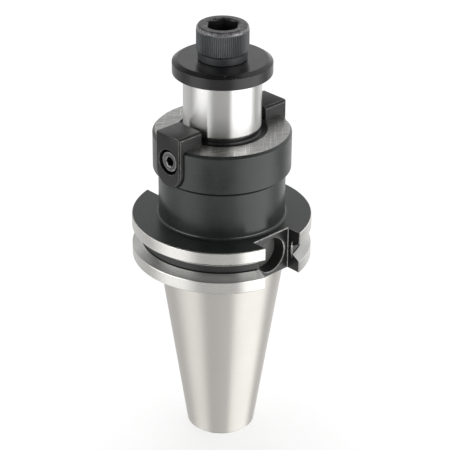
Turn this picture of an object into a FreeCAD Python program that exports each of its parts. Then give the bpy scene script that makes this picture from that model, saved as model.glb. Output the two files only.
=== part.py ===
"""Shell mill holder: a 40 taper V-flange shank that carries a face mill on a 27 mm pilot.

Millimetres. The origin is the centre of the gauge line, where the taper is at its full diameter,
and +Z runs up the axis towards the cutter. The two drive keys lie along X and the two drive slots
of the flange along Y. A profile is a list of (radius, height) points that is turned about Z.
"""

import FreeCAD, Part
import math
import os

# Steep taper shank
gauge_diameter = 44.45
taper_length = 68.25
taper_diameter_per_length = 7.0 / 24.0
small_end_chamfer = 0.8
flange_stand_off = 3.18
undercut_width = 1.4
undercut_depth = 0.45

# Retention knob hole in the small end
knob_pilot_diameter = 16.3
knob_pilot_depth = 4.8
knob_thread_minor_diameter = 13.5
knob_thread_length = 28.5
knob_mouth_chamfer = 0.6
drill_point_angle = 118.0

# Flange and the groove that the tool changer grips
flange_diameter = 63.5
flange_width = 15.87
flange_edge_chamfer = 0.3
groove_mouth_width = 7.02
groove_mouth_from_top = 4.43
groove_flank_angle = 30.0
groove_depth = 3.35
groove_mouth_break = 0.15

# Drive slots of the flange
drive_slot_width = 16.3
shallow_slot_floor = 25.0
deep_slot_floor = 22.6
slot_mouth_chamfer = 0.45
slot_run_out = 1.5
chip_pocket_diameter = 12.7
chip_pocket_depth = 4.8

# Neck and the body that carries the cutter
neck_diameter = 44.45
neck_foot_cove = 0.6
shoulder_height = 37.1
body_diameter = 48.2
seat_face_height = 51.1
body_edge_chamfer = 0.9
seat_relief_diameter = 31.4
seat_relief_depth = 0.5

# Pilot that centres the cutter
pilot_diameter = 27.0
pilot_height = 21.0
pilot_neck_height = 2.0
pilot_neck_depth = 0.45
pilot_end_chamfer = 1.0

# Lock screw, M12 with a socket head
lock_thread_diameter = 12.0
lock_thread_clearance = 0.05
lock_hole_depth = 33.0
lock_hole_chamfer = 0.6
lock_screw_length = 30.0
lock_head_diameter = 18.0
lock_head_height = 12.0
lock_head_chamfer = 0.5
lock_socket_width = 10.0
lock_socket_depth = 6.0
lock_socket_turn = 13.0
lock_socket_lead_in = 0.5
lock_tip_chamfer = 1.0

# Clamp washer
washer_diameter = 34.4
washer_thickness = 5.0
washer_top_chamfer_width = 1.6
washer_top_chamfer_height = 1.0
washer_hole_clearance = 0.35
washer_hole_chamfer = 0.7

# Drive keys, one on each side of the pilot
key_width = 12.0
key_slot_clearance = 0.05
key_seat_radius = 15.2
key_thickness = 10.0
key_height_above_seat = 5.1
key_foot_height = 36.5
key_corner_chamfer = 0.8
key_edge_chamfer = 0.8

# Key screws, M5 with socket heads
key_screw_height = 46.0
key_thread_diameter = 5.0
key_thread_clearance = 0.04
key_screw_length = 10.0
key_thread_hole_extra = 1.0
key_head_diameter = 8.5
key_head_height = 5.0
key_head_chamfer = 0.5
key_head_recess = 0.4
key_counterbore_clearance = 0.5
key_hole_clearance = 0.3
key_socket_width = 4.0
key_socket_depth = 2.5
key_socket_lead_in = 0.25
key_tip_chamfer = 0.6

# Sizes that follow from those above
axis = FreeCAD.Vector(0, 0, 1)
centre = FreeCAD.Vector(0, 0, 0)
gauge_radius = gauge_diameter / 2
small_end_z = -taper_length
small_end_radius = gauge_radius - taper_length * taper_diameter_per_length / 2
flange_bottom_z = flange_stand_off
flange_top_z = flange_bottom_z + flange_width
flange_radius = flange_diameter / 2
groove_top_z = flange_top_z - groove_mouth_from_top
groove_bottom_z = groove_top_z - groove_mouth_width
groove_middle_z = (groove_top_z + groove_bottom_z) / 2
groove_floor_radius = flange_radius - groove_depth
groove_flank_rise = groove_depth * math.tan(math.radians(groove_flank_angle))
pilot_radius = pilot_diameter / 2
pilot_top_z = seat_face_height + pilot_height
pilot_neck_radius = pilot_radius - pilot_neck_depth
seat_relief_z = seat_face_height - seat_relief_depth
lock_hole_radius = lock_thread_diameter / 2 + lock_thread_clearance
washer_top_z = pilot_top_z + washer_thickness
washer_hole_radius = lock_thread_diameter / 2 + washer_hole_clearance
key_half_width = key_width / 2
key_slot_half_width = key_half_width + key_slot_clearance
key_outer_radius = key_seat_radius + key_thickness
key_arc_z = key_foot_height + key_half_width
key_top_z = seat_face_height + key_height_above_seat
key_head_top = key_outer_radius - key_head_recess
key_head_seat = key_head_top - key_head_height
key_screw_tip = key_head_seat - key_screw_length
key_thread_hole_end = key_screw_tip - key_thread_hole_extra


def point(radius, height):
    """A point of a profile, in the plane of X and Z."""
    return FreeCAD.Vector(radius, 0, height)


def turned(runs):
    """Turns an outline of straight runs, each a pair of points, about Z."""
    edges = [Part.LineSegment(point(*start), point(*end)).toShape() for start, end in runs]
    return Part.Face(Part.Wire(edges)).revolve(centre, axis, 360)


def line_runs(points):
    """The straight runs that join a row of points."""
    return [(start, end) for start, end in zip(points, points[1:])]


def drill_point(radius):
    """How far a drill's point reaches past its full diameter."""
    return radius / math.tan(math.radians(drill_point_angle / 2))


def shank_outline():
    """Outline of the taper, the undercut and the flange, from the axis up to the neck's foot."""
    chamfer_radius = small_end_radius - small_end_chamfer
    taper_start = small_end_radius + small_end_chamfer * taper_diameter_per_length / 2
    undercut_radius = gauge_radius - undercut_depth
    undercut_z = flange_bottom_z - undercut_width
    edge = flange_edge_chamfer
    lip = groove_mouth_break
    return line_runs([
        (0, small_end_z),
        (chamfer_radius, small_end_z),
        (taper_start, small_end_z + small_end_chamfer),
        (gauge_radius, 0),
        (gauge_radius, undercut_z),
        (undercut_radius, undercut_z + undercut_depth),
        (undercut_radius, flange_bottom_z),
        (flange_radius - edge, flange_bottom_z),
        (flange_radius, flange_bottom_z + edge),
        (flange_radius, groove_bottom_z - lip),
        (flange_radius - lip, groove_bottom_z + lip * math.tan(math.radians(groove_flank_angle))),
        (groove_floor_radius, groove_bottom_z + groove_flank_rise),
        (groove_floor_radius, groove_top_z - groove_flank_rise),
        (flange_radius - lip, groove_top_z - lip * math.tan(math.radians(groove_flank_angle))),
        (flange_radius, groove_top_z + lip),
        (flange_radius, flange_top_z - edge),
        (flange_radius - edge, flange_top_z),
        (neck_diameter / 2 + neck_foot_cove, flange_top_z),
    ])


def neck_outline():
    """Outline of the neck, the body and the pilot, from the neck's foot back to the axis."""
    neck_radius = neck_diameter / 2
    body_radius = body_diameter / 2
    relief_radius = seat_relief_diameter / 2
    pilot_foot_z = seat_face_height + pilot_neck_height
    return line_runs([
        (neck_radius + neck_foot_cove, flange_top_z),
        (neck_radius, flange_top_z + neck_foot_cove),
        (neck_radius, shoulder_height),
        (body_radius, shoulder_height),
        (body_radius, seat_face_height - body_edge_chamfer),
        (body_radius - body_edge_chamfer, seat_face_height),
        (relief_radius, seat_face_height),
        (relief_radius, seat_relief_z),
        (pilot_neck_radius, seat_relief_z),
        (pilot_neck_radius, pilot_foot_z - pilot_neck_depth),
        (pilot_radius, pilot_foot_z),
        (pilot_radius, pilot_top_z - pilot_end_chamfer),
        (pilot_radius - pilot_end_chamfer, pilot_top_z),
        (0, pilot_top_z),
        (0, small_end_z),
    ])


def knob_hole():
    """The hole in the small end: a pilot bore, then the drawbar thread's minor diameter and drill point."""
    pilot_bore = knob_pilot_diameter / 2
    thread_bore = knob_thread_minor_diameter / 2
    thread_start = small_end_z + knob_pilot_depth
    thread_end = thread_start + knob_thread_length
    return turned(line_runs([
        (0, small_end_z),
        (pilot_bore + knob_mouth_chamfer, small_end_z),
        (pilot_bore, small_end_z + knob_mouth_chamfer),
        (pilot_bore, thread_start),
        (thread_bore, thread_start),
        (thread_bore, thread_end),
        (0, thread_end + drill_point(thread_bore)),
        (0, small_end_z),
    ]))


def lock_hole():
    """The tapped hole for the lock screw, down the middle of the pilot."""
    bottom_z = pilot_top_z - lock_hole_depth
    return turned(line_runs([
        (0, bottom_z - drill_point(lock_hole_radius)),
        (lock_hole_radius, bottom_z),
        (lock_hole_radius, pilot_top_z - lock_hole_chamfer),
        (lock_hole_radius + lock_hole_chamfer, pilot_top_z),
        (0, pilot_top_z),
        (0, bottom_z - drill_point(lock_hole_radius)),
    ]))


def drive_slot(floor, side):
    """A slot across the flange, its floor square to Y, with broken edges at the rim; side is -1 or 1."""
    half = drive_slot_width / 2
    rim = math.sqrt(flange_radius**2 - half**2)
    reach = flange_radius - rim + slot_run_out
    outline = [
        (-half, floor),
        (half, floor),
        (half, rim - slot_mouth_chamfer),
        (half + slot_mouth_chamfer + reach, rim + reach),
        (-half - slot_mouth_chamfer - reach, rim + reach),
        (-half, rim - slot_mouth_chamfer),
        (-half, floor),
    ]
    bottom_z = flange_bottom_z - slot_run_out / 2
    ring = Part.makePolygon([FreeCAD.Vector(x, side * y, bottom_z) for x, y in outline])
    return Part.Face(ring).extrude(axis * (flange_width + slot_run_out))


def chip_pocket():
    """The flat round pocket in the shallow slot's floor, on the groove's middle."""
    start = FreeCAD.Vector(0, -shallow_slot_floor + chip_pocket_depth, groove_middle_z)
    length = chip_pocket_depth + slot_run_out
    return Part.makeCylinder(chip_pocket_diameter / 2, length, start, FreeCAD.Vector(0, -1, 0))


def key_outline_face(half_width, radius):
    """The key's front outline, a block with a round foot, as a face square to X at the given radius."""
    def at(y, z):
        return FreeCAD.Vector(radius, y, z)

    left_top = at(-half_width, key_top_z)
    left_foot = at(-half_width, key_arc_z)
    lowest = at(0, key_arc_z - half_width)
    right_foot = at(half_width, key_arc_z)
    right_top = at(half_width, key_top_z)
    edges = [
        Part.LineSegment(left_top, left_foot).toShape(),
        Part.Arc(left_foot, lowest, right_foot).toShape(),
        Part.LineSegment(right_foot, right_top).toShape(),
        Part.LineSegment(right_top, left_top).toShape(),
    ]
    return Part.Face(Part.Wire(edges))


def key_slot():
    """The slot for one key in the side and face of the body, open outwards and upwards."""
    length = body_diameter / 2 - key_seat_radius + slot_run_out
    return key_outline_face(key_slot_half_width, key_seat_radius).extrude(FreeCAD.Vector(length, 0, 0))


def key_thread_hole():
    """The tapped hole for one key screw, with its drill point."""
    radius = key_thread_diameter / 2 + key_thread_clearance
    outwards = FreeCAD.Vector(1, 0, 0)
    end = FreeCAD.Vector(key_thread_hole_end, 0, key_screw_height)
    bore = Part.makeCylinder(radius, key_seat_radius - key_thread_hole_end, end, outwards)
    tip_length = drill_point(radius)
    tip = Part.makeCone(0, radius, tip_length, end - outwards * tip_length, outwards)
    return bore.fuse(tip)


def opposite(shape):
    """The same shape on the other side of the axis."""
    turned_shape = shape.copy()
    turned_shape.rotate(centre, axis, 180)
    return turned_shape


def holder_body():
    """The one-piece holder: taper, flange, neck, body and pilot, with its slots and holes."""
    blank = turned(shank_outline() + neck_outline())
    cutters = [knob_hole(), lock_hole(), chip_pocket()]
    cutters.append(drive_slot(shallow_slot_floor, -1))
    cutters.append(drive_slot(deep_slot_floor, 1))
    for cutter in (key_slot(), key_thread_hole()):
        cutters += [cutter, opposite(cutter)]
    return blank.cut(cutters)


def clamp_washer():
    """The thick washer that bears on the cutter, lying on the pilot's end."""
    outer = washer_diameter / 2
    return turned(line_runs([
        (washer_hole_radius, pilot_top_z),
        (outer, pilot_top_z),
        (outer, washer_top_z - washer_top_chamfer_height),
        (outer - washer_top_chamfer_width, washer_top_z),
        (washer_hole_radius + washer_hole_chamfer, washer_top_z),
        (washer_hole_radius, washer_top_z - washer_hole_chamfer),
        (washer_hole_radius, pilot_top_z),
    ]))


def hexagon_cutter(width, depth, lead_in, top_z):
    """A hexagon socket and the cone that leads into it, sunk from top_z."""
    corner = width / math.sqrt(3)
    corners = []
    for index in range(7):
        angle = math.radians(60 * index + 30)
        corners.append(FreeCAD.Vector(corner * math.cos(angle), corner * math.sin(angle), top_z - depth))
    socket = Part.Face(Part.makePolygon(corners)).extrude(axis * depth)
    cone_bottom = width / 2
    cone_top = corner + lead_in
    cone_height = (cone_top - cone_bottom) / 2
    cone_start = FreeCAD.Vector(0, 0, top_z - cone_height)
    return socket.fuse(Part.makeCone(cone_bottom, cone_top, cone_height, cone_start))


def socket_screw(shank, length, tip_chamfer, head, height, head_chamfer, socket):
    """A socket head cap screw along Z from its shank and head radii, its head's seat at Z zero."""
    return turned(line_runs([
        (0, -length),
        (shank - tip_chamfer, -length),
        (shank, -length + tip_chamfer),
        (shank, 0),
        (head, 0),
        (head, height - head_chamfer),
        (head - head_chamfer, height),
        (0, height),
        (0, -length),
    ])).cut(socket)


def lock_screw():
    """The M12 lock screw, seated on the washer and screwed down into the pilot."""
    socket = hexagon_cutter(lock_socket_width, lock_socket_depth, lock_socket_lead_in, lock_head_height)
    screw = socket_screw(lock_thread_diameter / 2, lock_screw_length, lock_tip_chamfer,
                         lock_head_diameter / 2, lock_head_height, lock_head_chamfer, socket)
    screw.rotate(centre, axis, lock_socket_turn)
    screw.translate(axis * washer_top_z)
    return screw


def key_screw():
    """The M5 screw of the key on the +X side, its head sunk in the key."""
    socket = hexagon_cutter(key_socket_width, key_socket_depth, key_socket_lead_in, key_head_height)
    screw = socket_screw(key_thread_diameter / 2, key_screw_length, key_tip_chamfer,
                         key_head_diameter / 2, key_head_height, key_head_chamfer, socket)
    screw.rotate(centre, FreeCAD.Vector(0, 1, 0), 90)
    screw.translate(FreeCAD.Vector(key_head_seat, 0, key_screw_height))
    return screw


def drive_key():
    """The key on the +X side: a block with a round foot that fills its slot and stands above the seat."""
    outwards = FreeCAD.Vector(1, 0, 0)
    block = key_outline_face(key_half_width, key_seat_radius).extrude(outwards * key_thickness)
    near = 0.001
    below_top = [edge for edge in block.Edges if edge.BoundBox.ZMin < key_top_z - near]
    front = [edge for edge in below_top if edge.BoundBox.XMin > key_outer_radius - near]
    block = block.makeChamfer(key_corner_chamfer, front)
    rim = [edge for edge in block.Edges if edge.BoundBox.ZMin > key_top_z - near]
    long_edges = [edge for edge in rim if edge.BoundBox.YLength < near]
    block = block.makeChamfer(key_edge_chamfer, long_edges)
    bore_radius = key_thread_diameter / 2 + key_hole_clearance
    bore_start = FreeCAD.Vector(key_seat_radius, 0, key_screw_height)
    bore = Part.makeCylinder(bore_radius, key_thickness, bore_start, outwards)
    recess_radius = key_head_diameter / 2 + key_counterbore_clearance
    recess_start = FreeCAD.Vector(key_head_seat, 0, key_screw_height)
    recess = Part.makeCylinder(recess_radius, key_outer_radius - key_head_seat, recess_start, outwards)
    return block.cut([bore, recess])


def save(name, shape):
    """Writes one piece to its own file and prints its size."""
    if not shape.isValid():
        raise ValueError("not a valid solid: " + name)
    shape.exportStep("parts/" + name + ".step")
    box = shape.BoundBox
    print(name, len(shape.Solids), "solid", round(shape.Volume), "mm3",
          [round(value, 2) for value in (box.XMin, box.YMin, box.ZMin, box.XMax, box.YMax, box.ZMax)])


def build():
    os.makedirs("parts", exist_ok=True)
    save("holder_body", holder_body())
    save("clamp_washer", clamp_washer())
    save("lock_screw", lock_screw())
    right_key = drive_key()
    right_screw = key_screw()
    save("drive_key_right", right_key)
    save("key_screw_right", right_screw)
    save("drive_key_left", opposite(right_key))
    save("key_screw_left", opposite(right_screw))


build()
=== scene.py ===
# %% [markdown]
# # Shell mill holder
# A shell mill holder joins a milling machine's spindle to a face mill. Its steep taper sits in the
# spindle, two slots in its flange are driven by the spindle's keys, and the cutter sits on the
# ground pilot at the other end. This lesson dresses the measured CAD model with fine edges, real
# threads, a knurl and steel finishes, and photographs it on a pale floor.

# %% Open the measured model
import bmesh
import bpy
import math
import numpy as np
from mathutils import Matrix, Vector


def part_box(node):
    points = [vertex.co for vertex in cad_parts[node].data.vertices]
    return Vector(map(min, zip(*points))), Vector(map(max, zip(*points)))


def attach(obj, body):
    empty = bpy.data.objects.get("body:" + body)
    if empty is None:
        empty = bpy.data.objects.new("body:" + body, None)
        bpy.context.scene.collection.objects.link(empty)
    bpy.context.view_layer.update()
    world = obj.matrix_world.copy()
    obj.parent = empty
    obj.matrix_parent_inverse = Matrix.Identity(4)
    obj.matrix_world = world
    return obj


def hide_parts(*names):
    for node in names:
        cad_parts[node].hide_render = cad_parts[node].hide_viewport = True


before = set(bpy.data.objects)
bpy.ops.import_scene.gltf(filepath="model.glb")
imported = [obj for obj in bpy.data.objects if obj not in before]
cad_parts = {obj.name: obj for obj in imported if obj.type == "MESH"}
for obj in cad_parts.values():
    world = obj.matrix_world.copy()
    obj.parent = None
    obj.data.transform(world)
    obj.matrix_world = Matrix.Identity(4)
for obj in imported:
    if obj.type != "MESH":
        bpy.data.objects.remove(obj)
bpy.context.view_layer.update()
MM = 0.001

# %% [markdown]
# ## Camera
# The picture was taken from about 29 degrees above the horizon with a long lens, so upright edges
# stay nearly parallel. The camera is aimed at the gauge line, where the taper is at its full
# diameter, and then turned by a degree, because the holder isn't quite in the picture's middle.
# A look-at rotation could do this with a constraint, but three plain turns are easier to read.

# %% Place the camera
CAMERA_SIDE = math.radians(-43.33)
CAMERA_RISE = math.radians(28.917)
CAMERA_DISTANCE = 598.368 * MM
CAMERA_TILT_UP = math.radians(1.124)
CAMERA_SWING = math.radians(-0.113)
CAMERA_ROLL = math.radians(-0.315)
CAMERA_LENS = 133.47

camera_data = bpy.data.cameras.new("camera")
camera_data.sensor_width = 36
camera_data.lens = CAMERA_LENS
camera = bpy.data.objects.new("camera", camera_data)
bpy.context.collection.objects.link(camera)
flat = math.cos(CAMERA_RISE)
ahead = Vector((math.sin(CAMERA_SIDE), -math.cos(CAMERA_SIDE)))
place = CAMERA_DISTANCE * Vector((flat * ahead.x, flat * ahead.y, math.sin(CAMERA_RISE)))
forward = -place.normalized()
right = forward.cross(Vector((0, 0, 1))).normalized()
up = right.cross(forward)
swing = Matrix.Rotation(CAMERA_SWING, 3, up)
forward, right = swing @ forward, swing @ right
tilt = Matrix.Rotation(CAMERA_TILT_UP, 3, right)
forward, up = tilt @ forward, tilt @ up
roll = Matrix.Rotation(CAMERA_ROLL, 3, forward)
right, up = roll @ right, roll @ up
turn_to_view = Matrix((right, up, -forward)).transposed()
camera.matrix_world = Matrix.Translation(place) @ turn_to_view.to_4x4()
bpy.context.scene.camera = camera
print("camera at", [round(value, 4) for value in place])

# %% [markdown]
# ## Shader maths
# Steel finishes are mostly sums and products of noise. One small class wraps a shader's wire, so
# that a sum in Python adds a Math node, and one method adds any other node with its settings and
# the values or wires of its sockets.

# %% A wire that can be added and multiplied
class Wire:
    """An output of a shader node, for sums and products that add Math nodes."""

    def __init__(self, tree, socket):
        self.tree = tree
        self.socket = socket

    def node(self, kind, settings, sockets, output=0):
        """Adds a node: first its settings, then the values or wires of its sockets."""
        made = self.tree.nodes.new(kind)
        for name, value in settings.items():
            if name == "stops":
                ramp = made.color_ramp.elements
                while len(ramp) < len(value):
                    ramp.new(1)
                for stop, (position, shade) in zip(ramp, value):
                    stop.position = position
                    stop.color = (shade, shade, shade, 1)
            else:
                setattr(made, name, value)
        for name, value in sockets.items():
            if isinstance(value, Wire):
                self.tree.links.new(value.socket, made.inputs[name])
            else:
                made.inputs[name].default_value = value
        return Wire(self.tree, made.outputs[output])

    def maths(self, operation, *others):
        sockets = dict(enumerate((self, *others)))
        return self.node("ShaderNodeMath", {"operation": operation}, sockets)

    def __add__(self, other):
        return self.maths("ADD", other)

    __radd__ = __add__

    def __mul__(self, other):
        return self.maths("MULTIPLY", other)

    __rmul__ = __mul__

    def __sub__(self, other):
        return self.maths("SUBTRACT", other)

    def __rsub__(self, other):
        return self * -1 + other

    def noise(self, scale, detail=2.0, roughness=0.5):
        """Noise on this wire's coordinates, stretched where a scale is small. About 0 to 1."""
        stretched = self.node("ShaderNodeMapping", {}, {"Vector": self, "Scale": scale})
        sockets = {"Vector": stretched, "Scale": 1.0, "Detail": detail, "Roughness": roughness}
        return self.node("ShaderNodeTexNoise", {}, sockets)

    def between(self, low, high):
        """0 below low, 1 above high and straight in between."""
        sockets = {"Value": self, "From Min": low, "From Max": high}
        return self.node("ShaderNodeMapRange", {"clamp": True}, sockets)

    def blend(self, dark, light):
        """A colour from dark to light as this value goes from 0 to 1."""
        sockets = {0: self, 6: (*dark, 1), 7: (*light, 1)}
        return self.node("ShaderNodeMix", {"data_type": "RGBA"}, sockets, output=2)

    def parts(self):
        """The wires of a vector's X, Y and Z."""
        apart = self.node("ShaderNodeSeparateXYZ", {}, {"Vector": self}).socket.node
        return [Wire(self.tree, output) for output in apart.outputs]


def new_material(name, metallic, **constants):
    """A material with its shader, and the wire of its Object coordinates."""
    material = bpy.data.materials.new(name)
    material.use_nodes = True
    tree = material.node_tree
    shader = tree.nodes["Principled BSDF"]
    shader.inputs["Metallic"].default_value = metallic
    for socket, value in constants.items():
        shader.inputs[socket.replace("_", " ")].default_value = value
    coordinates = tree.nodes.new("ShaderNodeTexCoord")
    return material, shader, Wire(tree, coordinates.outputs["Object"])


def join_to(shader, socket, wire):
    """Feeds one of the shader's sockets."""
    wire.tree.links.new(wire.socket, shader.inputs[socket])


def bump(height, distance):
    """A normal that is tilted by a height, which is distance metres from 0 to 1."""
    sockets = {"Height": height, "Strength": 0.5, "Distance": distance}
    return height.node("ShaderNodeBump", {}, sockets)


def polar(place):
    """Wires for the distance from the axis and for the height."""
    x, y, z = place.parts()
    return (x * x + y * y).maths("SQRT"), z


def grey(value):
    return value, value, value


print("shader maths ready")

# %% [markdown]
# ## Ground steel
# The taper, the rims and the pilot are ground on centres: the wheel leaves fine lines round the
# axis that spread a highlight along the height, so a cylinder shows long upright bands. Bump alone
# can't spread it so far, so the shader is anisotropic too, turned by a quarter to smear along the
# height. Noise that is stretched round the part and squeezed along its height makes the lines. The
# taper has the softer sheen, and the pilot and rims are the finest. The groove's flanks are the same
# ground steel painted darker: painted shade, for the shade they show.

# %% Ground steel
def ground_steel(name, light, dark, roughness, line_pitch, line_depth):
    """Steel ground round the axis, with lines line_pitch apart along the height."""
    material, shader, place = new_material(name, 1.0, Anisotropic=0.9, Anisotropic_Rotation=0.25)
    along = 1 / line_pitch
    lines = place.noise((25, 25, along), detail=3.0, roughness=0.65)
    coarse = place.noise((12, 12, along / 9), detail=2.0)
    cloud = place.noise((90, 90, 40), detail=3.0)
    tone = (cloud * 0.35 + coarse * 0.3 + lines * 0.35).between(0.3, 0.7)
    join_to(shader, "Base Color", tone.blend(dark, light))
    join_to(shader, "Roughness", (coarse * 0.5 + cloud * 0.5 - 0.5) * 0.1 + roughness)
    join_to(shader, "Normal", bump(lines * 0.7 + coarse * 0.3, line_depth))
    return material


taper_steel = ground_steel("ground_taper", (0.69, 0.67, 0.63), (0.62, 0.60, 0.56), 0.36,
                           0.05 * MM, 0.0014 * MM)
pilot_steel = ground_steel("ground_pilot", (0.75, 0.745, 0.73), (0.69, 0.685, 0.67), 0.26,
                           0.03 * MM, 0.0004 * MM)
rim_steel = ground_steel("ground_rim", (0.76, 0.75, 0.72), (0.65, 0.64, 0.61), 0.27,
                         0.04 * MM, 0.0006 * MM)
# The flanks' darker tones are painted shade: the rims' ground steel darkened for the shade the flanks
# show.
flank_steel_painted_shade = ground_steel("ground_flank_painted_shade", (0.58, 0.58, 0.565), (0.42, 0.42, 0.41), 0.22,
                           0.04 * MM, 0.0006 * MM)
print("ground finishes:", taper_steel.name, pilot_steel.name, rim_steel.name, flank_steel_painted_shade.name)

# %% [markdown]
# ## Ground seat face
# The ring that the cutter's back rests on is ground flat, and the cutters put on and taken off it
# have left scratches that cross at several angles. Each set of scratches is noise stretched along
# one direction of the face.

# %% Seat face
# Each set's angle in degrees, its gap in millimetres, and the noise where it starts and is full.
scratch_sets = ((31, 0.45, 0.54, 0.70), (-44, 0.6, 0.55, 0.70), (62, 0.35, 0.55, 0.72),
                (12, 0.12, 0.3, 0.8))


def seat_steel():
    """Steel ground flat, with its crossing scratches."""
    material, shader, place = new_material("ground_seat", 1.0)
    scratches = None
    for angle, gap, low, high in scratch_sets:
        lay = {"Vector": place, "Rotation": (0, 0, math.radians(angle))}
        turned = place.node("ShaderNodeMapping", {}, lay)
        lines = turned.noise((60, 1 / (gap * MM), 1), detail=2.0, roughness=0.6)
        lines = lines.between(low, high)
        scratches = lines if scratches is None else scratches + lines
    cloud = place.noise((160, 160, 160), detail=3.0)
    tone = (scratches * 0.4 + cloud * 0.35).between(0.1, 1.0)
    join_to(shader, "Base Color", tone.blend((0.24, 0.24, 0.235), (0.92, 0.91, 0.89)))
    join_to(shader, "Roughness", cloud * 0.12 + 0.27)
    join_to(shader, "Normal", bump(scratches, 0.02 * MM))
    return material


seat_face_steel = seat_steel()
print("seat face:", seat_face_steel.name)

# %% [markdown]
# ## Black oxide
# The rest of the body, the washer, the keys and the screws are black oxide: a skin a micron thick
# over turned or milled steel, a little uneven and slightly brown or green where it is thin. Turning
# leaves lines round the axis under it, and milling leaves a finer grain.

# %% Black oxide
def black_oxide(name, tone, roughness, grain, grain_depth, gloss=0.62):
    """Black oxide over machined steel. The grain is the noise's scale along X, Y and Z, in 1/m."""
    material, shader, place = new_material(name, 0.0, Specular_IOR_Level=gloss)
    marks = place.noise(grain, detail=3.0, roughness=0.6)
    cloud = place.noise((110, 110, 110), detail=4.0, roughness=0.6)
    dark = tuple(0.65 * value for value in tone)
    light = tuple(1.5 * value for value in tone)
    join_to(shader, "Base Color", (cloud * 0.7 + marks * 0.3).between(0.3, 0.7).blend(dark, light))
    join_to(shader, "Roughness", (cloud - 0.5) * 0.3 + marks * 0.1 + roughness)
    join_to(shader, "Normal", bump(marks, grain_depth))
    return material


turned_grain = (40, 40, 9000)
fine_grain = (5200, 5200, 5200)
body_black = black_oxide("black_oxide_body", (0.0140, 0.0168, 0.0164), 0.25, turned_grain,
                         0.0012 * MM)
slot_black = black_oxide("black_oxide_slots", grey(0.010), 0.26, fine_grain, 0.0016 * MM)
washer_black = black_oxide("black_oxide_washer", (0.006, 0.006, 0.0065), 0.20, fine_grain,
                           0.001 * MM)
key_black = black_oxide("black_oxide_keys", (0.015, 0.015, 0.0147), 0.3, fine_grain,
                        0.002 * MM, gloss=0.3)
key_screw_black = black_oxide("black_oxide_key_screws", grey(0.06), 0.3, fine_grain, 0.0016 * MM)
bore_steel = black_oxide("oiled_bore", (0.05, 0.048, 0.045), 0.38, turned_grain, 0.002 * MM)
# Painted shade: a near-black, dull finish put where shade falls, in the groove's bottom corner, under
# the body's shoulder and at the key slots' edges.
painted_shade_black = black_oxide("painted_shade_corners", grey(0.003), 0.55, fine_grain, 0.002 * MM,
                           gloss=0.1)
# Painted light: the pocket's floor is given a lighter grey that stands in for the light falling on
# it.
pocket_floor_painted_light = black_oxide("painted_light_pocket_floor", (0.10, 0.10, 0.096), 0.42, fine_grain, 0.003 * MM)
band_black = black_oxide("black_oxide_screw_band", (0.034, 0.036, 0.040), 0.3, fine_grain,
                         0.0016 * MM)
print("black finishes ready")

# %% Worn finishes
def worn_oxide(name, tone, worn, low, high, roughness, ribbed=False):
    """Black oxide rubbed through to the steel where its noise, from low to high, is strong. On a
    knurl the crests of the ribs are rubbed more than the valleys."""
    material, shader, place = new_material(name, 0.0, Specular_IOR_Level=0.45)
    cloud = place.noise((700, 700, 700), detail=4.0, roughness=0.62)
    fine = place.noise((3000, 3000, 3000), detail=2.0)
    wear = (cloud * 0.6 + fine * 0.4).between(low, high)
    if ribbed:
        wear = wear * 0.5 + polar(place)[0].between(8.74 * MM, 8.98 * MM) * 0.38
    join_to(shader, "Base Color", wear.blend(tone, worn))
    join_to(shader, "Metallic", wear * 0.9)
    join_to(shader, "Roughness", (fine - 0.5) * 0.16 + roughness)
    join_to(shader, "Normal", bump(fine, 0.0016 * MM))
    return material


screw_black = worn_oxide("black_oxide_screw_side", (0.009, 0.0098, 0.0104),
                         (0.27, 0.285, 0.295), 0.55, 0.95, 0.3, ribbed=True)
screw_worn = worn_oxide("worn_screw_rim", (0.016, 0.016, 0.017), (0.40, 0.39, 0.38),
                        0.50, 0.92, 0.3)
shoulder_worn = worn_oxide("worn_screw_shoulder", (0.03, 0.03, 0.033), (0.42, 0.41, 0.42),
                           0.36, 0.78, 0.3)
key_edge_worn = worn_oxide("worn_key_edges", grey(0.03), (0.26, 0.255, 0.245), 0.40, 0.75, 0.34)
screw_rim_worn = worn_oxide("worn_key_screw_rim", grey(0.08), (0.40, 0.40, 0.39),
                            0.35, 0.70, 0.28)
washer_worn = worn_oxide("worn_washer_edge", (0.006, 0.006, 0.0065), (0.30, 0.30, 0.29),
                         0.60, 0.80, 0.2)
edge_worn = worn_oxide("worn_edges", grey(0.10), (0.62, 0.61, 0.59), 0.30, 0.60, 0.26)
print("worn finishes:", screw_black.name, screw_worn.name, edge_worn.name)

# %% [markdown]
# ## Turned shapes
# Most of the holder comes off a lathe, so one function spins an outline of radii and heights round
# the axis. Each corner of the outline can be given a small round, because a real edge is never
# sharp and its thin highlight is what makes metal look machined. The spun mesh keeps the number of
# the outline's run on each face, and its shading normals are then worked out from the outline
# itself, so that a cone or cylinder shades as a perfect one, also next to a slot cut into it.

# %% Outlines with small rounds
def rounded(outline, size, steps=3):
    """Rounds the outline's corners. A point is (radius, height, finish of the run after it),
    with a fourth number where its own round differs from size."""
    points = [Vector(at[:2]) for at in outline]
    result = [outline[0][:3]]
    for index in range(1, len(outline) - 1):
        here = points[index]
        before, after = points[index - 1] - here, points[index + 1] - here
        finish = outline[index][2]
        amount = outline[index][3] if len(outline[index]) > 3 else size
        reach = min(amount, 0.4 * before.length, 0.4 * after.length)
        bend = math.pi - before.angle(after)
        if reach < 1e-4 or bend < math.radians(12):
            result.append((here.x, here.y, finish))
            continue
        start, end = here + before.normalized() * reach, here + after.normalized() * reach
        for step in range(steps + 1):
            share = step / steps
            on_curve = start * (1 - share) ** 2 + here * 2 * share * (1 - share) + end * share**2
            result.append((on_curve.x, on_curve.y, finish))
    result.append(outline[-1][:3])
    return result


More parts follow.
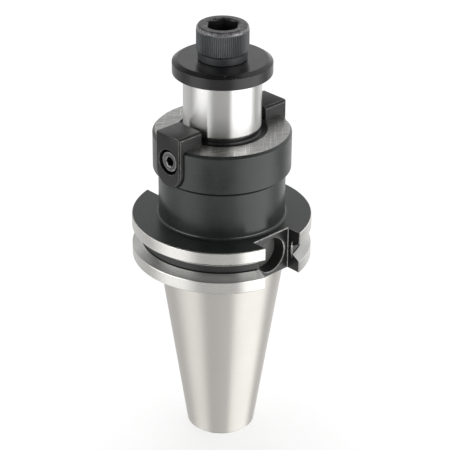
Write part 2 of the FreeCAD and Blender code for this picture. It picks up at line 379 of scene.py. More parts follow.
def run_normals(outline):
    """Each run's normals at its two ends, shared with the next run where the bend is small."""
    runs = [Vector(b[:2]) - Vector(a[:2]) for a, b in zip(outline, outline[1:])]
    flat_normals = [Vector((run.y, -run.x)).normalized() for run in runs]
    ends = [[normal.copy(), normal.copy()] for normal in flat_normals]
    closed = (Vector(outline[0][:2]) - Vector(outline[-1][:2])).length < 1e-9
    for index in range(0 if closed else 1, len(runs)):
        if flat_normals[index - 1].angle(flat_normals[index]) < math.radians(38):
            weights = runs[index - 1].length ** 2, runs[index].length ** 2
            shared = flat_normals[index - 1] * weights[0] + flat_normals[index] * weights[1]
            ends[index - 1][1] = shared.normalized()
            ends[index][0] = shared.normalized()
    return ends


# %% Spin an outline
def at_angle(radius, angle, height):
    """A point in metres, from a radius and a height in millimetres."""
    return radius * MM * math.cos(angle), radius * MM * math.sin(angle), height * MM


def as_piece(name, mesh, finishes, face_finishes, face_runs):
    """Puts a mesh into the scene, with a finish and a run number on each face."""
    for finish in finishes:
        mesh.materials.append(finish)
    mesh.polygons.foreach_set("material_index", face_finishes)
    mesh.attributes.new("run", "INT", "FACE").data.foreach_set("value", face_runs)
    mesh.update()
    thing = bpy.data.objects.new(name, mesh)
    bpy.context.collection.objects.link(thing)
    return thing


def spun(name, outline, segments, finishes):
    """Turns an outline in millimetres about Z. It closes on itself, or its ends lie on the axis."""
    closed = (Vector(outline[0][:2]) - Vector(outline[-1][:2])).length < 1e-9
    rings = outline[:-1] if closed else outline
    vertices, ring_start = [], []
    for radius, height, _ in rings:
        ring_start.append(len(vertices))
        if radius < 1e-6:
            vertices.append((0, 0, height * MM))
            continue
        for step in range(segments):
            angle = 2 * math.pi * step / segments
            vertices.append(at_angle(radius, angle, height))
    faces, face_run = [], []
    for run in range(len(outline) - 1):
        low, high = ring_start[run], ring_start[(run + 1) % len(rings)]
        low_pole, high_pole = rings[run][0] < 1e-6, rings[(run + 1) % len(rings)][0] < 1e-6
        for step in range(segments):
            beside = (step + 1) % segments
            corners = [low] if low_pole else [low + step, low + beside]
            corners += [high] if high_pole else [high + beside, high + step]
            faces.append(corners)
            face_run.append(run)
    mesh = bpy.data.meshes.new(name)
    mesh.from_pydata(vertices, [], faces)
    face_finishes = [outline[run][2] for run in face_run]
    return as_piece(name, mesh, finishes, face_finishes, [run + 1 for run in face_run])


def shade_smooth(thing, sharp_angle=30):
    """Smooth shading, with edges past an angle in degrees left sharp."""
    thing.data.shade_smooth()
    thing.data.set_sharp_from_angle(angle=math.radians(sharp_angle))


def shade_from_outline(thing, outline):
    """Smooth shading whose normals come from the outline. Faces that a tool cut keep their own."""
    shade_smooth(thing, 28)
    mesh = thing.data
    corners = len(mesh.loops)
    normals = np.empty(corners * 3, np.float32)
    mesh.corner_normals.foreach_get("vector", normals)
    normals = normals.reshape(-1, 3)
    run = np.empty(len(mesh.polygons), np.int32)
    mesh.attributes["run"].data.foreach_get("value", run)
    total = np.empty(len(mesh.polygons), np.int32)
    mesh.polygons.foreach_get("loop_total", total)
    run_of_corner = np.repeat(run, total) - 1
    vertex = np.empty(corners, np.int32)
    mesh.loops.foreach_get("vertex_index", vertex)
    places = np.empty(len(mesh.vertices) * 3)
    mesh.vertices.foreach_get("co", places)
    places = places.reshape(-1, 3)[vertex] / MM
    turned = run_of_corner >= 0
    row = run_of_corner[turned]
    starts = np.array([at[:2] for at in outline[:-1]])[row]
    ends = np.array([at[:2] for at in outline[1:]])[row]
    angle = np.arctan2(places[turned, 1], places[turned, 0])
    radius = np.hypot(places[turned, 0], places[turned, 1])
    on_axis = radius < 1e-4
    along = ends - starts
    offset = np.stack([radius, places[turned, 2]], 1) - starts
    share = np.clip((offset * along).sum(1) / (along**2).sum(1), 0, 1)[:, None]
    pairs = np.array([[list(a), list(b)] for a, b in run_normals(outline)])
    across = pairs[row, 0] * (1 - share) + pairs[row, 1] * share
    across /= np.linalg.norm(across, axis=1)[:, None]
    outward = np.where(on_axis, 0, across[:, 0])
    exact = np.stack([outward * np.cos(angle), outward * np.sin(angle), across[:, 1]], 1)
    normals[turned] = exact
    mesh.normals_split_custom_set(normals.tolist())


def apply_modifier(thing, modifier):
    """Gives a piece the mesh that its modifier makes, and takes the modifier away."""
    bpy.context.view_layer.update()
    shape = thing.evaluated_get(bpy.context.evaluated_depsgraph_get())
    mesh = bpy.data.meshes.new_from_object(shape)
    thing.modifiers.remove(modifier)
    thing.data = mesh


def cut(thing, tool):
    """Takes the tool's shape out of a piece for good."""
    boolean = thing.modifiers.new("cut", "BOOLEAN")
    boolean.operation = "DIFFERENCE"
    boolean.solver = "EXACT"
    boolean.object = tool
    apply_modifier(thing, boolean)
    bpy.data.objects.remove(tool)


def forget_runs(tool):
    """Marks a spun tool's faces as cut ones, which keep their own normals."""
    faces = len(tool.data.polygons)
    tool.data.attributes["run"].data.foreach_set("value", [0] * faces)
    return tool


print("lathe ready")

# %% [markdown]
# ## Lofted tools
# Slots and keys aren't turned. They are stacks of the same outline at different depths: the first
# and last rings are a little larger or smaller than the middle ones, which gives a slot the broken
# edge of a file and a key its chamfer.

# %% Loft a stack of outlines
def lofted(name, rings, finishes, finish=0, edge_finish=None):
    """Joins rings that have the same number of points, given in millimetres, and caps both ends.
    Faces that lie slantwise, as broken edges do, can have a finish of their own."""
    count = len(rings[0])
    vertices = [tuple(value * MM for value in at) for ring in rings for at in ring]
    faces = [list(range(count))[::-1], [len(vertices) - count + step for step in range(count)]]
    for level in range(len(rings) - 1):
        for step in range(count):
            low, high = level * count, (level + 1) * count
            beside = (step + 1) % count
            faces.append([low + step, low + beside, high + beside, high + step])
    mesh = bpy.data.meshes.new(name)
    mesh.from_pydata(vertices, [], faces)
    thing = as_piece(name, mesh, finishes, [finish] * len(faces), [0] * len(faces))
    face_outwards(mesh)
    for face in mesh.polygons if edge_finish is not None else []:
        if max(abs(part) for part in face.normal) < 0.93:
            face.material_index = edge_finish
    return thing


def face_outwards(mesh):
    """Turns a closed mesh's faces outwards, after its doubled points are merged."""
    work = bmesh.new()
    work.from_mesh(mesh)
    bmesh.ops.remove_doubles(work, verts=work.verts, dist=1e-8)
    bmesh.ops.recalc_face_normals(work, faces=work.faces)
    work.to_mesh(mesh)
    work.free()


def laid(thing, matrix):
    """Moves a piece's mesh, not its object."""
    thing.data.transform(matrix)
    return thing


along_x = Matrix.Rotation(math.radians(90), 4, "Y")
half_turn = Matrix.Rotation(math.pi, 4, "Z")
both_sides = (("right", Matrix.Identity(4)), ("left", half_turn))
print("loft ready")

# %% [markdown]
# ## Threads
# A thread could be a repeated groove, but it is really one ridge that winds up the shank. The grid
# of points here winds with it: each column of points stands a little higher than the one before,
# and after a full turn it meets the grid one pitch up, so the crest is a clean line. Where the
# thread starts and stops, its radius is held between two cones, as a chamfer holds the real one.

# %% Wind a thread
def wound(name, pitch, root, crest, stations, segments, finishes, finish):
    """A thread of one start round Z. A station is (height, least radius, most radius)."""
    bottom, top = stations[0][0], stations[-1][0]
    turn_rows = ((0.0, 0), (0.125, 0), (0.25, 0), (0.406, 0.5), (0.5625, 1), (0.6875, 1),
                 (0.844, 0.5))
    rows = []
    turns = math.ceil((top - bottom) / pitch) + 2
    for count in range(-1, turns):
        for share, rise in turn_rows:
            rows.append((count + share, root + rise * (crest - root)))
    heights, least, most = (np.array(column) for column in zip(*stations))
    vertices = []
    for lift, radius in rows:
        for step in range(segments):
            height = min(max(bottom + pitch * (lift + step / segments), bottom), top)
            limited = max(radius, np.interp(height, heights, least))
            limited = min(limited, np.interp(height, heights, most))
            vertices.append(at_angle(limited, 2 * math.pi * step / segments, height))
    per_turn = len(turn_rows)
    faces = []
    for level in range(len(rows) - 1):
        for step in range(segments):
            low, high = level * segments, (level + 1) * segments
            if step + 1 < segments:
                faces.append([low + step, low + step + 1, high + step + 1, high + step])
            elif level + 1 + per_turn < len(rows):
                wrap = per_turn * segments
                faces.append([low + step, low + wrap, high + wrap, high + step])
    mesh = bpy.data.meshes.new(name)
    mesh.from_pydata(vertices, [], faces)
    close_ends(mesh)
    count = len(mesh.polygons)
    return as_piece(name, mesh, finishes, [finish] * count, [0] * count)


def close_ends(mesh):
    """Merges the points that the end planes flattened, and caps the two open ends."""
    work = bmesh.new()
    work.from_mesh(mesh)
    bmesh.ops.remove_doubles(work, verts=work.verts, dist=2e-7)
    bmesh.ops.dissolve_degenerate(work, edges=work.edges, dist=1e-7)
    border = [edge for edge in work.edges if edge.is_boundary]
    bmesh.ops.holes_fill(work, edges=border, sides=0)
    bmesh.ops.recalc_face_normals(work, faces=work.faces)
    open_edges = sum(1 for edge in work.edges if not edge.is_manifold)
    work.to_mesh(mesh)
    work.free()
    print(mesh.name, "thread:", len(mesh.polygons), "faces,", open_edges, "open edges")


print("thread winder ready")

# %% [markdown]
# ## Holder body
# The real body is one forging: turned, milled, hardened, blackened all over, and then ground where
# it must be true, which takes the black off the taper, the flange's rims, the seat face and the
# pilot. So it is one spun outline here too, and each run of the outline names its finish. The
# heights and radii are those of the CAD solid, in millimetres from the gauge line.

# %% The body's outline
# Each run's finish. Three are painted: near-black shade in corners and under the shoulder, darker
# shaded flanks, and a pocket floor painted light.
TAPER, PILOT, RIM, SEAT, BLACK, SLOT, BORE, EDGE, PAINTED_SHADE, LIT_POCKET_FLOOR, SHADED_FLANK = range(11)
holder_finishes = [taper_steel, pilot_steel, rim_steel, seat_face_steel, body_black, slot_black,
                   bore_steel, edge_worn, painted_shade_black, pocket_floor_painted_light, flank_steel_painted_shade]
holder_low, holder_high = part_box("holder_body")
foot_z, pilot_top = holder_low.z / MM, holder_high.z / MM
flange_low, flange_high, groove_low, groove_high = 3.18, 19.05, 7.6, 14.62
groove_floor, flank = 28.4, 3.35 * math.tan(math.radians(30))
lip = 0.15 * math.tan(math.radians(30))
shoulder_z, seat_z = 37.1, pilot_top - 21
rim_radius, gauge_radius, body_radius = 31.735, 22.225, 24.1
relief_radius, pilot_radius = 15.7, 13.5
fillet_size, fillet_foot = 0.9, 23.125
body_outline = rounded([
    (0, foot_z, BORE),
    (11.472, foot_z, TAPER, 0.15),
    (12.389, foot_z + 0.8, TAPER, 0.2),
    (gauge_radius, 0, TAPER, 0.02),
    (gauge_radius, 1.78, BLACK, 0.06),
    (21.775, 2.23, BLACK, 0.2),
    (21.775, flange_low, BLACK, 0.2),
    (31.45, flange_low, RIM, 0.05),
    (rim_radius, flange_low + 0.3, RIM, 0.08),
    (rim_radius, groove_low - 0.15, RIM, 0.05),
    # Both flanks take the darker ground steel, which is painted shade.
    (31.6, groove_low + lip, SHADED_FLANK, 0.05),
    # Painted shade: the groove floor's lowest 0.45 mm is painted near-black as the dark bottom
    # corner.
    (groove_floor, groove_low + flank, PAINTED_SHADE, 0.3),
    (groove_floor, groove_low + flank + 0.45, SLOT, 0.02),
    (groove_floor, groove_high - flank, SHADED_FLANK, 0.35),
    (31.6, groove_high - lip, RIM, 0.05),
    (rim_radius, groove_high + 0.15, RIM, 0.05),
    (rim_radius, flange_high - 0.3, RIM, 0.08),
    (31.45, flange_high, BLACK, 0.05),
    (fillet_foot, flange_high, BLACK, 0.02),
    (gauge_radius, flange_high + fillet_size, BLACK, 0.02),
    # Painted shade: the neck's top under the shoulder, the shoulder's underside and the body's lower
    # chamfer are painted near-black.
    (gauge_radius, shoulder_z - 1.3, PAINTED_SHADE, 0.02),
    (gauge_radius, shoulder_z, PAINTED_SHADE, 0.15),
    (23.8, shoulder_z, PAINTED_SHADE, 0.05),
    (body_radius, shoulder_z + 0.35, BLACK, 0.1),
    (body_radius, seat_z - 0.9, BLACK, 0.1),
    (23.2, seat_z, SEAT, 0.08),
    (relief_radius, seat_z, SLOT, 0.05),
    (relief_radius, seat_z - 0.5, SLOT, 0.1),
    (13.05, seat_z - 0.5, SLOT, 0.7),
    (13.05, seat_z + 1.55, PILOT, 0.15),
    (pilot_radius, seat_z + 2, PILOT, 0.12),
    (pilot_radius, pilot_top - 1, PILOT, 0.15),
    (12.5, pilot_top, PILOT, 0.12),
    (0, pilot_top, PILOT),
], 0.1)
for index, (radius, height, finish) in enumerate(body_outline):
    if abs(radius - fillet_foot) < 0.03 and abs(height - flange_high) < 0.03:
        fillet_start = index
    if abs(radius - gauge_radius) < 0.03 and abs(height - flange_high - fillet_size) < 0.03:
        fillet_end = index
fillet = []
for degrees in range(0, 91, 15):
    angle = math.radians(degrees)
    fillet.append((fillet_foot - fillet_size * math.sin(angle),
                   flange_high + fillet_size - fillet_size * math.cos(angle), BLACK))
body_outline[fillet_start:fillet_end + 1] = fillet
holder = spun("holder_dressed", body_outline, 240, holder_finishes)
print("outline:", len(body_outline), "points; blank:", len(holder.data.polygons), "faces")

# %% [markdown]
# ## Slots, pocket and holes
# A milling cutter takes the drive slots and the key slots out of the turned blank, and drills and
# taps make the holes. The same order works here: an exact Boolean takes each tool's shape out of
# the blank. The slot's rings are a little wider at the flange's two faces and at its rim, where the
# real slot has its edges broken.

# %% Mill the two drive slots
slot_half, shallow_floor, deep_floor, pocket_depth = 8.15, 25.0, 22.6, 4.8


def slot_ring(half_width, floor, rim_y, height, side):
    """One outline of a drive slot's tool at a height, widened outside the flange's rim."""
    broken, reach, corner = 0.35, 2.5, 0.2
    mouth = half_width + broken + reach
    row = [(-half_width + corner, floor), (half_width - corner, floor),
           (half_width, floor + corner), (half_width, rim_y - broken),
           (mouth, rim_y + reach), (-mouth, rim_y + reach),
           (-half_width, rim_y - broken), (-half_width, floor + corner)]
    return [(side * x, side * y, height) for x, y in row]


def drive_slot(name, floor, side):
    rim_y = math.sqrt(rim_radius**2 - slot_half**2)
    rings = []
    for height, wider in ((flange_low - 1, 1.3), (flange_low + 0.3, 0),
                          (flange_high - 0.3, 0), (flange_high + 1, 1.3)):
        rings.append(slot_ring(slot_half + wider, floor - wider, rim_y, height, side))
    return lofted(name, rings, holder_finishes, SLOT, EDGE)


def round_tool(name, stations, segments, finish, start, direction, bottom=None, mouth=None):
    """A round tool spun from (distance along, radius) stations, laid along a direction. Its bottom
    and the last runs, which break the mouth's edge, can have finishes of their own."""
    first = finish if bottom is None else bottom
    last = finish if mouth is None else mouth
    outline = [(0, stations[0][0], first)]
    for index, (at, radius) in enumerate(stations):
        outline.append((radius, at, last if index else finish))
    outline.append((0, stations[-1][0], finish))
    tool = forget_runs(spun(name, outline, segments, holder_finishes))
    turn = Vector((0, 0, 1)).rotation_difference(Vector(direction)).to_matrix().to_4x4()
    return laid(tool, Matrix.Translation(Vector(start) * MM) @ turn)


pocket_z = (groove_low + groove_high) / 2
cut(holder, drive_slot("shallow_slot_tool", shallow_floor, -1))
cut(holder, drive_slot("deep_slot_tool", deep_floor, 1))
pocket_steps = [(0, 6.35), (4.5, 6.35), (pocket_depth, 6.65), (7, 8.85)]
pocket_start = (0, pocket_depth - shallow_floor, pocket_z)
# The pocket's floor takes the painted light grey, and its mouth the worn edge.
cut(holder, round_tool("pocket_tool", pocket_steps, 96, SLOT, pocket_start, (0, -1, 0),
                       bottom=LIT_POCKET_FLOOR, mouth=EDGE))
print("after the slots:", len(holder.data.polygons), "faces")

# %% Mill the key slots and drill their holes
key_back, arc_z, key_screw_z = 15.2, 42.5, 46


def foot_ring(x, half_width, top, inset=0, corner=0.0, arc_steps=24):
    """The outline of a key or its slot square to X: straight sides on a round foot."""
    half = half_width - inset
    ring = [(x, half - corner, top), (x, -half + corner, top), (x, -half, top - corner)]
    for step in range(arc_steps + 1):
        angle = math.pi * (1 + step / arc_steps)
        ring.append((x, half * math.cos(angle), arc_z + half * math.sin(angle)))
    ring.append((x, half, top - corner))
    return ring


for side, turn in both_sides:
    steps = ((key_back, 6.05), (22.3, 6.05), (22.6, 6.3), (28, 6.3))
    slot_rings = [foot_ring(x, half, 60) for x, half in steps]
    # The slot tool's slanted faces, its flared mouth and the slanted parts of its round foot, take
    # the near-black painted shade.
    tool = lofted("key_slot_tool_" + side, slot_rings, holder_finishes, SLOT, PAINTED_SHADE)
    cut(holder, laid(tool, turn))
    hole = [(0, 0.01), (1.52, 2.54), (8.9, 2.54)]
    drill = round_tool("key_hole_tool_" + side, hole, 48, BORE, (7.28, 0, key_screw_z), (1, 0, 0))
    cut(holder, laid(drill, turn))
print("after the key slots:", len(holder.data.polygons), "faces")

# %% Tap the pilot and the small end
lock_pitch, knob_pitch, key_pitch = 1.75, 2.309, 0.8
lock_tap = [(-36.6, 0.4, 0.4), (-33, 5.1, 5.1), (-32.3, 5.1, 6.12), (-0.8, 5.1, 6.12),
            (-0.6, 6.05, 6.2), (0, 6.65, 6.65), (1, 7.65, 7.65)]
lock_tap = [(pilot_top + height, least, most) for height, least, most in lock_tap]
cut(holder, wound("lock_tap", lock_pitch, 5.1, 6.12, lock_tap, 64, holder_finishes, BORE))
knob_tap = [(foot_z - 1, 9.75, 9.75), (foot_z + 0.6, 8.15, 8.15), (foot_z + 4.8, 8.15, 8.15),
            (foot_z + 5.6, 6.75, 7.94), (-36.5, 6.75, 7.94), (-34.95, 6.75, 6.75),
            (-31.0, 0.5, 0.5)]
cut(holder, wound("knob_tap", knob_pitch, 6.75, 7.94, knob_tap, 72, holder_finishes, BORE))
shade_from_outline(holder, body_outline)
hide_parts("holder_body")
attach(holder, "holder")
print("holder:", len(holder.data.polygons), "faces")

# %% [markdown]
# ## Clamp washer
# The washer is a thick disc with a plain hole. Its faces are turned, so it is spun too, from an
# outline that closes on itself.

# %% Washer
washer_low, washer_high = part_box("clamp_washer")
washer_foot, washer_top = washer_low.z / MM, washer_high.z / MM
washer_outline = rounded([
    (6.35, washer_top - 2, 0),
    (6.35, washer_foot, 0, 0.2),
    (17.2, washer_foot, 0, 0.25),
    (17.2, washer_top - 1, 1, 0.16),
    (15.6, washer_top, 0, 0.25),
    (6.35, washer_top, 0, 0.7),
    (6.35, washer_top - 2, 0),
], 0.2, steps=5)
washer = spun("washer_dressed", washer_outline, 200, [washer_black, washer_worn])
shade_from_outline(washer, washer_outline)
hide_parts("clamp_washer")
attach(washer, "washer")
print("washer:", len(washer.data.polygons), "faces")

# %% [markdown]
# ## Lock screw
# The lock screw is a socket head cap screw. Its head is forged, its side is knurled so that
# fingers can spin it, and its socket takes a 10 mm key. The head and the plain shank are spun, the
# socket is cut by a hexagon with a cone over it, the thread is wound, and the knurl is left to
# Geometry Nodes, because it is one small rib repeated all round.

# %% Head, socket and thread
def hexagon_tool(name, across_flats, depth, top, turn, finishes, finish):
    """The socket's hexagon, turned by some degrees about the axis."""
    corner = across_flats / math.sqrt(3)
    angles = [math.radians(60 * step + 30 + turn) for step in range(6)]
    rings = [[(corner * math.cos(angle), corner * math.sin(angle), height) for angle in angles]
             for height in (top - depth, top + 1)]
    return lofted(name, rings, finishes, finish)


def cone_tool(name, low_radius, low, high_radius, high, finishes, finish):
    """A cone from one radius and height to another, which breaks a socket's edge."""
    corners = ((0, low), (low_radius, low), (high_radius, high), (0, high))
    outline = [(radius, height, finish) for radius, height in corners]
    return forget_runs(spun(name, outline, 96, finishes))


screw_low, screw_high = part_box("lock_screw")
screw_tip, head_top = screw_low.z / MM, screw_high.z / MM
knurl_low, knurl_high = washer_top + 2.9, head_top - 1.15
head_outline = rounded([
    (0, washer_top, 0),
    (8.25, washer_top, 3, 0.05),
    (8.45, washer_top + 0.25, 3, 0.1),
    (8.48, washer_top + 2.75, 0, 0.05),
    (8.72, washer_top + 2.95, 0, 0.05),
    (8.72, head_top - 1.7, 1, 0.2),
    (8.93, head_top - 1.3, 1, 0.4),
    (8.86, head_top - 0.75, 1, 0.5),
    (8.3, head_top, 4, 0.3),
    (0, head_top, 4),
], 0.1, steps=5)
screw_finishes = [screw_black, shoulder_worn, slot_black, band_black, screw_worn]
screw = spun("lock_screw_dressed", head_outline, 160, screw_finishes)
cut(screw, hexagon_tool("socket_tool", 10, 6, head_top, 13, screw_finishes, 2))
cut(screw, cone_tool("lead_in_tool", 4.9, head_top - 0.66, 6.35, head_top + 0.1, screw_finishes, 4))
shade_from_outline(screw, head_outline)
shank = [(screw_tip, 4.7, 4.7), (screw_tip + 1.3, 4.9, 5.95), (washer_foot - 0.6, 4.9, 5.95),
         (washer_foot + 0.5, 5.95, 5.95), (washer_top + 0.5, 5.95, 5.95)]
thread = wound("lock_screw_thread", lock_pitch, 4.9, 5.95, shank, 64, [screw_black], 0)
shade_smooth(thread)
print("head:", len(screw.data.polygons), "faces")

# %% Knurl the head with Geometry Nodes
def knurl_tree():
    """A node tree that sets ribs side by side round the Z axis."""
    tree = bpy.data.node_groups.new("knurl_ribs", "GeometryNodeTree")
    wanted = (("Geometry", "Geometry", None), ("Ribs", "Int", 80), ("Core radius", "Float", 8.7 * MM),
              ("Low", "Float", 0.0), ("High", "Float", 6 * MM), ("Rib height", "Float", 0.28 * MM),
              ("Finish", "Material", None))
    for name, kind, value in wanted:
        socket = tree.interface.new_socket(name, in_out="INPUT", socket_type="NodeSocket" + kind)
        if value is not None:
            socket.default_value = value
    tree.interface.new_socket("Geometry", in_out="OUTPUT", socket_type="NodeSocketGeometry")
    outputs = tree.nodes.new("NodeGroupInput").outputs
    rib, ribs, radius, low, high, rise, finish = (Wire(tree, outputs[row[0]]) for row in wanted)
    ring = rib.node("GeometryNodeMeshCircle", {"fill_type": "NONE"},
                    {"Vertices": ribs, "Radius": radius})
    lift = rib.node("ShaderNodeCombineXYZ", {}, {"Z": low})
    raised = rib.node("GeometryNodeTransform", {}, {"Geometry": ring, "Translation": lift})
    x, y, z = rib.node("GeometryNodeInputPosition", {}, {}).parts()
    turn = rib.node("ShaderNodeCombineXYZ", {}, {"Z": y.maths("ARCTAN2", x)})
    size = rib.node("ShaderNodeCombineXYZ", {}, {"X": rise, "Y": 1, "Z": high - low})
    spread = rib.node("GeometryNodeInstanceOnPoints", {},
                      {"Points": raised, "Instance": rib, "Rotation": turn, "Scale": size})
    real = rib.node("GeometryNodeRealizeInstances", {}, {"Geometry": spread})
    dressed = rib.node("GeometryNodeSetMaterial", {}, {"Geometry": real, "Material": finish})
    tree.links.new(dressed.socket, tree.nodes.new("NodeGroupOutput").inputs["Geometry"])
    return tree


def rib_mesh(pitch):
    """One rib, one unit high in X and one unit tall in Z: a ridge with a narrow flat top."""
    levels = ((0.0, -0.4, 0.3), (0.03, 0.55, 0.75), (0.06, 1.0, 1.0), (0.94, 1.0, 1.0),
              (0.97, 0.55, 0.75), (1.0, -0.4, 0.3))
    rings = []
    for height, rise, narrow in levels:
        half = 0.5 * pitch * narrow
        section = ((-0.8, -half), (0.0, -half), (rise * 0.86, -0.2 * half), (rise, 0),
                   (rise * 0.86, 0.2 * half), (0.0, half), (-0.8, half))
        rings.append([(x / MM, y, height / MM) for x, y in section])
    return lofted("knurl_rib", rings, [screw_black])


ribs = 80
core = 8.72
ribbing = rib_mesh(2 * math.pi * core / ribs)
tree = knurl_tree()
modifier = ribbing.modifiers.new("knurl", "NODES")
modifier.node_group = tree
sockets = {item.name: item.identifier for item in tree.interface.items_tree
           if item.in_out == "INPUT"}
sizes = {"Ribs": ribs, "Core radius": core * MM, "Low": knurl_low * MM, "High": knurl_high * MM,
         "Rib height": 0.275 * MM, "Finish": screw_black}
for name, value in sizes.items():
    modifier[sockets[name]] = value
apply_modifier(ribbing, modifier)
print("knurl:", ribs, "ribs,", len(ribbing.data.polygons), "faces")

# %% Name the lock screw's pieces
ribbing.name = "lock_screw_knurl"
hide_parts("lock_screw")
for thing in (screw, thread, ribbing):
    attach(thing, "lock_screw")

# %% [markdown]
# ## Drive keys and their screws
# Each key is a block with a round foot, so that an end mill can cut its slot. Its outer end has a
# small chamfer, and a counterbore hides the head of its screw. The block is a stack of the same
# outline, a little smaller at its outer end. The second key is the first one after half a turn.

# %% Keys
key_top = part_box("drive_key_right")[1].z / MM
key_seat, key_face = 19.8, 25.2


def soften(thing, width, finish):
    """Breaks a block's sharp edges with narrow bevels that have a finish of their own."""
    bevel = thing.modifiers.new("soften", "BEVEL")
    bevel.width = width * MM
    bevel.segments = 2
    bevel.limit_method = "ANGLE"
    bevel.angle_limit = math.radians(25)
    bevel.material = finish
    apply_modifier(thing, bevel)


def drive_key(side, turn):
    """One key, its recess lined in black with a worn mouth."""
    rings = [foot_ring(key_back, 6, key_top, 0, 0.8), foot_ring(24.75, 6, key_top, 0, 0.8),
             foot_ring(key_face, 6, key_top, 0.45, 0.35)]
    key = lofted("drive_key_" + side + "_dressed", rings, [key_black, key_edge_worn, slot_black])
    soften(key, 0.13, 1)
    bore = [(0, 2.8), (5.6, 2.8), (5.6, 4.5), (10.7, 4.5), (11.0, 4.8), (12, 5.8)]
    tool = round_tool("recess_tool_" + side, bore, 72, 0, (14.2, 0, key_screw_z), (1, 0, 0))
    for face in tool.data.polygons:
        face.material_index = 1 if 24.9 * MM < face.center.x < key_face * MM else 2
    cut(key, tool)
    shade_smooth(key)
    laid(key, turn)
    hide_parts("drive_key_" + side)
    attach(key, side + "_key")
    return key


# %% Key screws
def key_screw(side, turn):
    """The screw of one key, spun and wound along Z and then laid along the key's bore."""
    top = 4.6
    head = rounded([(0, 0, 0), (3.4, 0, 0, 0.05), (3.5, 0.1, 0, 0.05), (3.5, top, 2, 0.35),
                    (3.0, top, 0, 0.02), (0, top, 0)], 0.1, steps=4)
    small_finishes = [key_screw_black, slot_black, screw_rim_worn]
    small = spun("key_screw_" + side + "_dressed", head, 80, small_finishes)
    cut(small, hexagon_tool("small_socket_tool", 3.2, 2.5, top, 0, small_finishes, 1))
    cut(small, cone_tool("small_lead_in_tool", 1.6, 4.25, 2.2, 4.65, small_finishes, 2))
    shade_from_outline(small, head)
    stations = [(-10, 1.9, 1.9), (-9.4, 2.02, 2.5), (-1.6, 2.02, 2.5), (-1, 2.4, 2.45),
                (0.3, 2.4, 2.4)]
    stem = wound("key_screw_thread_" + side, key_pitch, 2.02, 2.48, stations, 40,
                 [key_screw_black], 0)
    shade_smooth(stem)
    seat = turn @ Matrix.Translation((key_seat * MM, 0, key_screw_z * MM)) @ along_x
    for thing in (small, stem):
        laid(thing, seat)
        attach(thing, side + "_key_screw")
    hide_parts("key_screw_" + side)
    return small


for side, turn in both_sides:
    key = drive_key(side, turn)
    small = key_screw(side, turn)
    faces = len(key.data.polygons), len(small.data.polygons)
    print(side, "key:", faces[0], "faces; its screw:", faces[1], "faces")

# %% [markdown]
# ## Floor and light
# The picture has a white surround, so the floor is plain and pale. Polished steel shows little but
# what stands round it: here a white room with a dark gap in front of the holder and two soft
# lights beside it, which give the pilot and taper their dark middle band and bright sides. The
# room is drawn by direction on the world. The steel doesn't mirror the floor, so that the bands
# reach its foot.

# %% Floor
def floor_piece():
    """A white disc under the holder, lit a little from itself so that it stays pale."""
    material, shader, place = new_material("floor_paper", 0.0, Roughness=0.8, Emission_Strength=0.72)
    grain = place.noise((900, 900, 900), detail=2.0)
    join_to(shader, "Base Color", grain.blend((0.29, 0.29, 0.29), (0.31, 0.31, 0.31)))
    shader.inputs["Emission Color"].default_value = (1, 1, 1, 1)
    reach = 4000
    outline = [(0, foot_z - 1, 0), (reach, foot_z - 1, 0), (reach, foot_z, 0), (0, foot_z, 0)]
    piece = spun("floor", outline, 96, [material])
    piece.visible_glossy = False
    return piece


floor_piece()
print("floor at", round(foot_z, 2), "mm")

# %% Room light
room = bpy.data.worlds.new("room")
bpy.context.scene.world = room
room.use_nodes = True
backdrop = room.node_tree.nodes["Background"]
where = room.node_tree.nodes.new("ShaderNodeTexCoord").outputs["Generated"]
x, y, z = Wire(room.node_tree, where).parts()
across = Vector((math.cos(CAMERA_SIDE), math.sin(CAMERA_SIDE)))
bearing = (x * across.x + y * across.y).maths("ARCTAN2", x * ahead.x + y * ahead.y)
share = bearing * (0.5 / math.pi) + 0.5


def room_band(levels):
    """The room's brightness round one height: (degrees to the camera's right, level)."""
    stops = [((angle + 180) / 360, level / 8) for angle, level in levels]
    ramp = share.node("ShaderNodeValToRGB", {"stops": stops}, {0: share})
    return ramp.node("ShaderNodeRGBToBW", {}, {"Color": ramp}) * 8


floor_band = room_band((
    (-180, 0.8), (-136, 0.8), (-112, 0.66), (-93, 0.72), (-64, 0.9), (-38, 1.06), (-22, 1.25),
    (8, 1.42), (22, 1.34), (44, 1.22), (70, 1.05), (90, 0.95), (121, 0.85), (152, 0.8),
    (180, 0.85)))
rim_band = room_band((
    (-180, 0.7), (-144, 0.7), (-119, 0.6), (-100, 0.7), (-86, 0.85), (-70, 0.98), (-50, 0.94),
    (-38, 0.82), (-26, 0.36), (-10, 0.32), (14, 0.33), (22, 0.42), (29, 1.1), (48, 1.6),
    (86, 1.75), (99, 0.95), (112, 0.4), (126, 0.6), (147, 0.85), (180, 0.7)))
low_band = room_band((
    (-180, 0.6), (-139, 0.62), (-112, 0.55), (-97, 0.27), (-85, 0.48), (-70, 1.3), (-50, 1.22),
    (-38, 0.96), (-26, 0.44), (-10, 0.41), (14, 0.42), (22, 0.5), (29, 1.2), (48, 1.6),
    (86, 1.7), (99, 0.95), (112, 0.4), (126, 0.6), (147, 0.85), (180, 0.6)))
strip_band = room_band((
    (-180, 0.9), (-150, 0.6), (-120, 0.3), (-100, 0.5), (-84, 2.5), (-44, 3), (-34, 0.4),
    (-20, 0.15), (14, 0.15), (20, 0.6), (28, 4), (82, 4), (96, 1.2), (150, 1.2), (180, 0.9)))
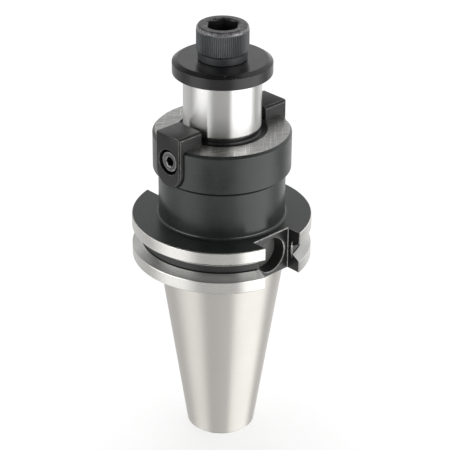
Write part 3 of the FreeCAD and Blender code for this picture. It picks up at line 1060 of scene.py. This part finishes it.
side_band = room_band((
    (-180, 0.85), (-152, 0.75), (-130, 1.2), (-100, 1.6), (-84, 2.2), (-74, 3.4), (-50, 3.2),
    (-36, 0.25), (-20, 0.15), (14, 0.15), (24, 0.4), (34, 2.4), (58, 3), (78, 2.2), (90, 0.7),
    (110, 0.8), (150, 0.85), (180, 0.85)))
high_band = room_band((
    (-180, 0.25), (-150, 0.2), (-135, 0.45), (-122, 0.12), (-100, 0.06), (-40, 0.06),
    (20, 0.08), (50, 0.3), (90, 0.6), (105, 0.9), (120, 1.0), (140, 0.9), (160, 0.6),
    (180, 0.5)))
upper_band = room_band((
    (-180, 0.1), (-135, 0.1), (-118, 0.22), (-105, 0.2), (-85, 0.05), (40, 0.05), (60, 0.2),
    (90, 0.6), (110, 1.0), (130, 0.9), (160, 0.3), (180, 0.1)))


def mixed(below, above, share_above):
    """Goes over from one band to the next one up."""
    return below * (1 - share_above) + above * share_above


level = floor_band * z.between(-0.97, -0.86)
level = mixed(level, rim_band, z.between(-0.70, -0.54))
level = mixed(level, low_band, z.between(-0.46, -0.40))
level = mixed(level, strip_band, z.between(-0.2, -0.04))
level = mixed(level, side_band, z.between(0.2, 0.3))
level = mixed(level, high_band, z.between(0.39, 0.54))
level = mixed(level, upper_band, z.between(0.66, 0.76))
level = level * (1 - z.between(0.9, 0.97)) + 0.05
room.node_tree.links.new(level.socket, backdrop.inputs["Strength"])
backdrop.inputs["Color"].default_value = (1, 1, 1, 1)


def soft_light(name, spot, aim, size, power):
    """A square soft light at a spot in metres, turned to aim at a point."""
    data = bpy.data.lights.new(name, "AREA")
    data.shape = "RECTANGLE"
    data.size, data.size_y = size
    data.energy = power
    lamp = bpy.data.objects.new(name, data)
    bpy.context.collection.objects.link(lamp)
    lamp.location = spot
    lamp.rotation_euler = (Vector(aim) - Vector(spot)).to_track_quat("-Z", "Y").to_euler()
    lamp.visible_glossy = False


soft_light("top_light", (0.2, 0.4, 1.3), (0, 0, 0), (0.9, 0.9), 11)
bpy.context.scene.view_settings.view_transform = "Standard"
print("lit")
